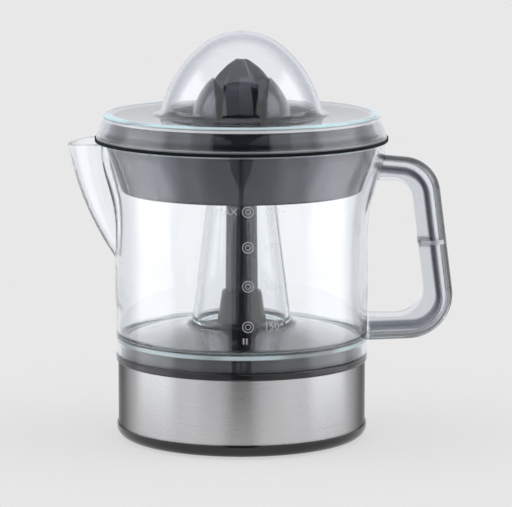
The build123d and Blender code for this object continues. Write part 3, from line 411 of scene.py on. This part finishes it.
def clear_plastic(name, tones, rings, with_grip=False):
    """Clear styrene: faint waves, fine wear, painted shade that greys it where it is seen along, and painted
    glow, highlight and shadow at rings.
    """
    made, tree, shader = surface(name)
    fix(shader, {"IOR": clear_ior})
    point = place(tree)
    x, y, z = axes(tree, point)
    flat = add(tree, "ShaderNodeCombineXYZ", {0: x, 1: y}).outputs[0]
    reach = vector(tree, "LENGTH", {0: flat}, "Value")
    # Painted shade: the plastic greys where it turns away from the eye
    shade = tint(tree, ramp(tree, facing(tree), *clear_painted_edge_shade_comes), *tones)
    if with_grip:
        # The handle takes its painted shade
        grip, holds = grip_painted_shade(tree, point)
        shade = blend(tree, holds, shade, grip)
    patches = ramp(tree, noise(tree, point, teal_grain, detail=1.0), *teal_patches)
    glow = 0.0
    # Painted light at the rings: teal glow, white highlight and dark shadow, which also let less light
    # through
    for low, high, inner, outer, strength, colour in rings:
        soft = (high - low) / ring_soft_part
        band = times(tree, ramp(tree, z, low, low + soft), fall(tree, z, high - soft, high))
        band = times(tree, band, ramp(tree, reach, inner, inner + soft, 0.0, strength))
        band = times(tree, band, fall(tree, reach, outer, outer + soft))
        if colour == painted_teal_glow:
            band = times(tree, band, patches)
        glow = maths(tree, "MAXIMUM", band, glow)
        shade = blend(tree, band, shade, (*colour, 1))
    link(tree, shade, shader, "Base Color")
    link(tree, fall(tree, glow, 0.0, 1.0, clear_pass), shader, "Transmission Weight")
    link(tree, ramp(tree, noise(tree, point, clear_wear_grain), *clear_wear), shader, "Roughness")
    link(tree, bump(tree, noise(tree, point, clear_wave_grain, detail=1.0), *clear_wave), shader, "Normal")
    haze = add(tree, "ShaderNodeVolumeAbsorption", {"Color": clear_haze, "Density": clear_haze_density})
    tree.links.new(haze.outputs[0], tree.nodes["Material Output"].inputs["Volume"])
    return made


def uneven(name, tones, grains, rough, relief, fixed=None):
    """A solid material whose colour and roughness vary a little.

    tones: two colours. grains: noises of colour, roughness and relief. rough: range of the noise, then of
    the roughness. relief: the noise's detail, its depth and its strength. fixed: inputs with constants.
    """
    made, tree, shader = surface(name)
    point = place(tree)
    colour_grain, rough_grain, relief_grain = grains
    detail, depth, strength = relief
    link(tree, tint(tree, noise(tree, point, colour_grain), *tones), shader, "Base Color")
    link(tree, ramp(tree, noise(tree, point, rough_grain), *rough), shader, "Roughness")
    link(tree, bump(tree, noise(tree, point, relief_grain, detail), depth, strength), shader, "Normal")
    fix(shader, fixed or {})
    return made


def metal(name, tones, rough, grain):
    """A plain metal."""
    grains = (grain, grain, metal_finer * grain)
    rough_range = (*usual_noise, *(share * rough for share in metal_spread))
    return uneven(name, tones, grains, rough_range, metal_relief, {"Metallic": 1.0})


def dull(name, tones, rough, grain, fixed=None):
    """A plain plastic, rubber or ferrite with a fine grain."""
    grains = (grain, grain, dull_finer * grain)
    rough_range = (*usual_noise, *(share * rough for share in dull_spread))
    return uneven(name, tones, grains, rough_range, dull_relief, fixed)


def brushed_sheet():
    """Steel sheet brushed round the band.

    Streaks follow it, light spreads up and down, and painted shade darkens it towards its sides.
    """
    made, tree, shader = surface("brushed_sheet")
    x, y, z = axes(tree, place(tree))
    arc = times(tree, maths(tree, "ARCTAN2", y, x), sheet_radius)
    unrolled = add(tree, "ShaderNodeCombineXYZ", {0: arc, 2: z}).outputs[0]
    stretched = vector(tree, "MULTIPLY", {0: unrolled, 1: sheet_streaks})
    streak = noise(tree, stretched, 1.0, sheet_streak_detail, sheet_streak_rough)
    # Painted shade: the sheet goes dark where it turns away from the eye
    sides = ramp(tree, facing(tree), *sheet_side_shade_comes)
    tone = blend(tree, sides, tint(tree, streak, *sheet_tones), sheet_painted_side_shade)
    link(tree, tone, shader, "Base Color")
    link(tree, ramp(tree, streak, *sheet_rough), shader, "Roughness")
    link(tree, bump(tree, streak, *sheet_relief), shader, "Normal")
    round_it = add(tree, "ShaderNodeTangent", direction_type="RADIAL", axis="Z")
    link(tree, round_it.outputs[0], shader, "Tangent")
    fix(shader, {"Metallic": 1.0, "Specular Tint": (0.55, 0.55, 0.55, 1),
                 "Anisotropic": 0.93, "Anisotropic Rotation": 0.25})
    return made


def laminations():
    """Stacked iron sheets: thin lines across the height."""
    made, tree, shader = surface("laminations")
    height = axes(tree, place(tree))[2]
    line = maths(tree, "FRACT", times(tree, height, 1 / lamination_pitch))
    gap = ramp(tree, line, 0.0, lamination_gap_share)
    link(tree, tint(tree, gap, *lamination_tones), shader, "Base Color")
    link(tree, bump(tree, gap, *lamination_relief), shader, "Normal")
    fix(shader, {"Metallic": 0.8, "Roughness": 0.5})
    return made


def windings():
    """Enamelled wire: turns lie side by side round the legs."""
    made, tree, shader = surface("windings")
    along = axes(tree, place(tree))[0]
    turn = maths(tree, "SINE", times(tree, along, wire_waves))
    link(tree, tint(tree, ramp(tree, turn, -1, 1), *wire_tones), shader, "Base Color")
    link(tree, bump(tree, turn, *wire_relief), shader, "Normal")
    fix(shader, {"Metallic": 0.9, "Roughness": 0.3})
    return made


def printed_ink():
    """Pale see-through ink of the scale, a little uneven."""
    made, tree, shader = surface("printed_ink")
    link(tree, tint(tree, noise(tree, place(tree), ink_grain), *ink_tones), shader, "Base Color")
    fix(shader, {"Roughness": 0.5, "Alpha": 0.42})
    return made


def dress(node, finish):
    """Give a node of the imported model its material."""
    slots = frame["nodes"][node].data.materials
    slots.clear()
    slots.append(finish)


finishes = {
    "clear_plastic": clear_plastic("clear_jug", jug_tint_and_edge_shade, jug_painted_light_rings, with_grip=True),
    "dark_plastic": uneven(
        "dark_plastic", tones=((0.014, 0.0162, 0.028), (0.02, 0.023, 0.039)), grains=(45.0, 160.0, 900.0),
        rough=(0.3, 0.75, 0.035, 0.065), relief=(2.0, 0.00002, 0.1),
        fixed={"IOR": 1.58, "Specular Tint": (0.88, 0.905, 0.98, 1)}),
    "black_plastic": uneven(
        "black_plastic", tones=((0.007, 0.007, 0.0075), (0.013, 0.013, 0.014)), grains=(60.0, 220.0, 2600.0),
        rough=(*usual_noise, 0.13, 0.16), relief=(2.0, 0.00004, 0.06)),
    "steel_sheet": brushed_sheet(),
    "steel": metal("bright_steel", tones=((0.5, 0.5, 0.51), (0.62, 0.62, 0.63)), rough=0.28, grain=120.0),
    "bronze": metal("bronze", tones=((0.42, 0.26, 0.12), (0.56, 0.37, 0.18)), rough=0.4, grain=200.0),
    "magnet": dull("ferrite", tones=((0.03, 0.03, 0.032), (0.05, 0.05, 0.052)), rough=0.6, grain=150.0),
    "rubber": dull("rubber", tones=((0.012, 0.012, 0.012), (0.022, 0.022, 0.022)), rough=0.75, grain=120.0),
    "nylon": dull("nylon", tones=((0.72, 0.7, 0.62), (0.8, 0.78, 0.72)), rough=0.45, grain=80.0),
    "laminations": laminations(),
    "copper": windings(),
}
# A near-black matt finish that paints the shadow at the flange's edge
flange_shadow_finish = dull(
    "flange_painted_shadow", tones=((0.004, 0.0055, 0.0065), (0.006, 0.008, 0.009)), rough=0.6, grain=120.0,
    fixed={"Specular IOR Level": 0.06})
for part in frame["record"]["subparts"]:
    dress(part["node"], finishes[part["material_slot"]])
dress("dust_cover", clear_plastic("clear_cover", cover_tint_and_edge_shade, cover_painted_light_rings))


# Strainer's rim, the painted shadow on its flange's edge, and return spring

def turns(count):
    """The angles of a full turn in equal steps."""
    return [2 * math.pi * step / count for step in range(count)]


def skin(form, rings):
    """Join rings of points to a smooth surface."""
    for first, second in zip(rings, rings[1:]):
        for side in range(len(first)):
            after = (side + 1) % len(first)
            face = form.faces.new((first[side], first[after], second[after], second[side]))
            face.smooth = True


def piece(name, form, finish):
    """Make a form an object of the scene, with a material."""
    mesh = bpy.data.meshes.new(name)
    form.to_mesh(mesh)
    form.free()
    mesh.materials.append(finish)
    made = bpy.data.objects.new(name, mesh)
    scene.collection.objects.link(made)
    return made


def face_out(form):
    """Turn the faces of a closed form outwards."""
    bmesh.ops.recalc_face_normals(form, faces=form.faces)


def turned(section, level):
    """A form that turns a closed section of radii and heights round the spin axis, above a level."""
    form = bmesh.new()
    rings = []
    for angle in turns(turned_steps):
        x, y = math.cos(angle), math.sin(angle)
        rings.append([form.verts.new((radius * x, radius * y, level + height)) for radius, height in section])
    skin(form, rings + rings[:1])
    face_out(form)
    return form


def build_rim():
    """The strainer's upright rim: a thin round-topped wall on its flange, inside the cover's skirt."""
    lean = skirt_slope / skirt_height
    foot = cover_high.x - skirt_wall - rim_gap
    half = rim_wall / 2
    round_level = rim_head - half
    middle = foot - lean * round_level - half
    section = [(foot, 0)]
    for step in range(rim_round_steps + 1):
        angle = math.pi * step / rim_round_steps
        section.append((middle + half * math.cos(angle), round_level + half * math.sin(angle)))
    section.append((foot - rim_wall, 0))
    rim = piece("strainer_rim", turned(section, cover_low.z), finishes["dark_plastic"])
    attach(rim, "strainer")


def build_flange_shadow_skin():
    """A near-black matt skin on the strainer flange's outer edge: a painted shadow between the cover and the
    jug.
    """
    _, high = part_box("strainer_bowl")
    inner, outer = high.x - flange_skin_depth, high.x + flange_skin_proud
    section = ((inner, 0), (outer, 0), (outer, flange_height), (inner, flange_height))
    edge = piece("flange_painted_shadow", turned(section, cover_low.z - flange_height), flange_shadow_finish)
    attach(edge, "strainer")


def build_spring():
    """The coil spring that holds the spindle up."""
    low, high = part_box("return_spring")
    length = high.z - low.z
    wire = spring_wire / 2
    middle = (high.x - low.x) / 2 - wire
    form = bmesh.new()
    rings = []
    for step in range(spring_steps + 1):
        share = step / spring_steps
        angle = 2 * math.pi * spring_turns * share
        level = low.z + wire + (length - spring_wire) * share
        ring = []
        for around in turns(spring_sides):
            reach = middle + wire * math.cos(around)
            point = (reach * math.cos(angle), reach * math.sin(angle), level + wire * math.sin(around))
            ring.append(form.verts.new(point))
        rings.append(ring)
    skin(form, rings)
    form.faces.new(rings[0])
    form.faces.new(rings[-1])
    face_out(form)
    coil = piece("return_coil", form, finishes["steel"])
    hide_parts("return_spring")
    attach(coil, "base")
    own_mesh(coil)


# Printed scale

def ring_mark(form, middle_x, middle_z, outer, inner):
    """Add a flat ring to a form, in the plane of the scale."""
    circles = []
    for radius in (outer, inner):
        circle = []
        for angle in turns(scale_ring_sides):
            x, z = middle_x + radius * math.cos(angle), middle_z + radius * math.sin(angle)
            circle.append(form.verts.new((x, 0, z)))
        circles.append(circle)
    for step in range(scale_ring_sides):
        after = (step + 1) % scale_ring_sides
        form.faces.new((circles[0][step], circles[0][after], circles[1][after], circles[1][step]))


def bar(form, middle_x, middle_z, width, height):
    """Add a flat bar to a form."""
    corners = []
    for side, end in ((-1, -1), (1, -1), (1, 1), (-1, 1)):
        corners.append(form.verts.new((middle_x + side * width / 2, 0, middle_z + end * height / 2)))
    form.faces.new(corners)


def word(form, letters, left_x, middle_z):
    """Add letters or numbers to a form, from a left edge."""
    curve = bpy.data.curves.new("word", "FONT")
    curve.body = letters
    curve.size = scale_text_height / scale_capital_share
    curve.align_y = "CENTER"
    text = bpy.data.objects.new("word", curve)
    text.location = (left_x, 0, middle_z)
    text.rotation_euler = (math.pi / 2, 0, 0)
    scene.collection.objects.link(text)
    bpy.context.view_layer.update()
    mesh = bpy.data.meshes.new_from_object(text.evaluated_get(bpy.context.evaluated_depsgraph_get()))
    mesh.transform(text.matrix_world)
    form.from_mesh(mesh)
    bpy.data.objects.remove(text)
    bpy.data.meshes.remove(mesh)


def build_scale():
    """Marks of volume on the front of the jug: a ring and a number at each level."""
    form = bmesh.new()
    for level, number in scale_levels:
        for outer, inner in scale_ring_radii:
            ring_mark(form, scale_ring_x, level, outer, inner)
        word(form, number, scale_number_x, level)
    top_level = scale_levels[0][0]
    word(form, *scale_top_word, top_level)
    bar(form, scale_dash_x, top_level, *scale_dash_size)
    for middle_x, middle_z in scale_bars:
        bar(form, middle_x, middle_z, *scale_bar_size)
    jug = frame["nodes"]["jug"]
    for point in form.verts:
        hit, place_on, normal, _ = jug.ray_cast((point.co.x, 2 * cad_low.y, point.co.z), (0, 1, 0))
        if hit:
            point.co = place_on + normal * ink_lift
    scale = piece("printed_scale", form, printed_ink())
    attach(scale, "jug")


# Stage

def flat_piece(name, corners, finish):
    """A flat object of one face, with a material."""
    mesh = bpy.data.meshes.new(name)
    mesh.from_pydata(corners, [], [range(len(corners))])
    mesh.materials.append(finish)
    return bpy.data.objects.new(name, mesh)


def floor_finish():
    """A pale tone with a faint shadow, which fades into the plain background and is open from below."""
    made, tree, shader = surface("floor")
    fix(shader, {"Base Color": (floor_tone, floor_tone, floor_tone, 1), "Roughness": floor_rough,
                 "Specular IOR Level": 0.0})
    light = add(tree, "ShaderNodeLightPath")
    seen = maths(tree, "MAXIMUM", light.outputs["Is Camera Ray"], light.outputs["Is Glossy Ray"])
    seen = maths(tree, "MAXIMUM", seen, light.outputs["Is Transmission Ray"])
    tone = tint(tree, light.outputs["Is Camera Ray"], studio_white, background)
    glow = add(tree, "ShaderNodeEmission", {"Color": tone})
    share = times(tree, seen, 1 - floor_shadow)
    pale = add(tree, "ShaderNodeMixShader", {0: share, 1: shader.outputs[0], 2: glow.outputs[0]})
    gone = ramp(tree, vector(tree, "LENGTH", {0: place(tree)}, "Value"), floor_fade, floor_radius)
    gone = maths(tree, "MAXIMUM", gone, add(tree, "ShaderNodeNewGeometry").outputs["Backfacing"])
    open_air = add(tree, "ShaderNodeBsdfTransparent")
    show(tree, add(tree, "ShaderNodeMixShader", {0: gone, 1: pale.outputs[0], 2: open_air.outputs[0]}))
    return made


def build_floor():
    """The round floor that the juicer stands on."""
    corners = []
    for angle in turns(floor_sides):
        corners.append((floor_radius * math.cos(angle), floor_radius * math.sin(angle), -floor_drop))
    floor = flat_piece("floor", corners, floor_finish())
    scene.collection.objects.link(floor)


def stand(thing, bearing, elevation):
    """Stand a light or a card on the studio's dome, facing the juicer and out of the camera's sight."""
    level = studio_radius * math.cos(elevation)
    height = studio_radius * math.sin(elevation)
    thing.location = (level * math.sin(bearing), -level * math.cos(bearing), cad_high.z / 2 + height)
    thing.rotation_euler = (math.pi / 2 - elevation, 0, bearing)
    thing.visible_camera = False
    scene.collection.objects.link(thing)


def card_tone(tone, fade=None):
    """A plain tone for reflections alone; fade is a soft-edged card's half width, foot and head."""
    made, tree, shader = surface("card")
    glow = add(tree, "ShaderNodeEmission", {"Color": (*(tone * share for share in card_tint), 1)})
    open_air = add(tree, "ShaderNodeBsdfTransparent")
    shown = maths(tree, "GREATER_THAN", add(tree, "ShaderNodeLightPath").outputs["Glossy Depth"], 0.5)
    if fade:
        half, foot, head = fade
        soft = card_fade_share * (head - foot)
        across, up, _ = axes(tree, place(tree))
        aside = maths(tree, "ABSOLUTE", across)
        shown = times(tree, shown, fall(tree, aside, card_core_share * half, half))
        shown = times(tree, shown, ramp(tree, up, foot, foot + soft))
        shown = times(tree, shown, fall(tree, up, head - soft, head))
    show(tree, add(tree, "ShaderNodeMixShader", {0: shown, 1: open_air.outputs[0], 2: glow.outputs[0]}))
    tree.nodes.remove(shader)
    return made


def build_card(bearing, outline, finish, back=0.0):
    """A flat card, from half widths and levels up its side, and how far it stands behind the others."""
    corners = [(half, level, back) for half, level in outline]
    corners += [(-half, level, back) for half, level in reversed(outline)]
    stand(flat_piece("card", corners, finish), math.radians(bearing), 0)


def build_light():
    """A white world that the camera sees as pale grey, soft boxes at the sides, and cards for reflections."""
    world = bpy.data.worlds.new("studio")
    world.use_nodes = True
    tree = world.node_tree
    seen = add(tree, "ShaderNodeLightPath").outputs["Is Camera Ray"]
    tree.links.new(tint(tree, seen, studio_white, background), tree.nodes["Background"].inputs["Color"])
    scene.world = world
    for bearing, elevation, width, height, radiance in soft_boxes:
        lamp = bpy.data.lights.new("soft_box", "AREA")
        lamp.shape = "RECTANGLE"
        lamp.size = width
        lamp.size_y = height
        lamp.energy = radiance * math.pi * width * height
        box = bpy.data.objects.new("soft_box", lamp)
        box.visible_glossy = False
        box.visible_transmission = False
        stand(box, math.radians(bearing), math.radians(elevation))
    for bearing, tone, outline in dark_cards:
        build_card(bearing, outline, card_tone(tone))
    for bearing, tone, half, foot, head in soft_cards:
        build_card(bearing, ((half, foot), (half, head)), card_tone(tone, (half, foot, head)), soft_card_back)


def build_camera():
    """The camera at the photograph's place and angle."""
    data = bpy.data.cameras.new("camera")
    data.sensor_width = sensor_width_mm
    data.lens = photo_focal_px / photo_width * sensor_width_mm
    data.clip_end = camera_sight
    camera = bpy.data.objects.new("camera", data)
    camera.location = camera_place
    camera.rotation_euler = (math.pi / 2 - camera_pitch, 0, 0)
    scene.collection.objects.link(camera)
    scene.camera = camera


build_rim()
build_flange_shadow_skin()
build_spring()
build_scale()
build_floor()
build_light()
build_camera()
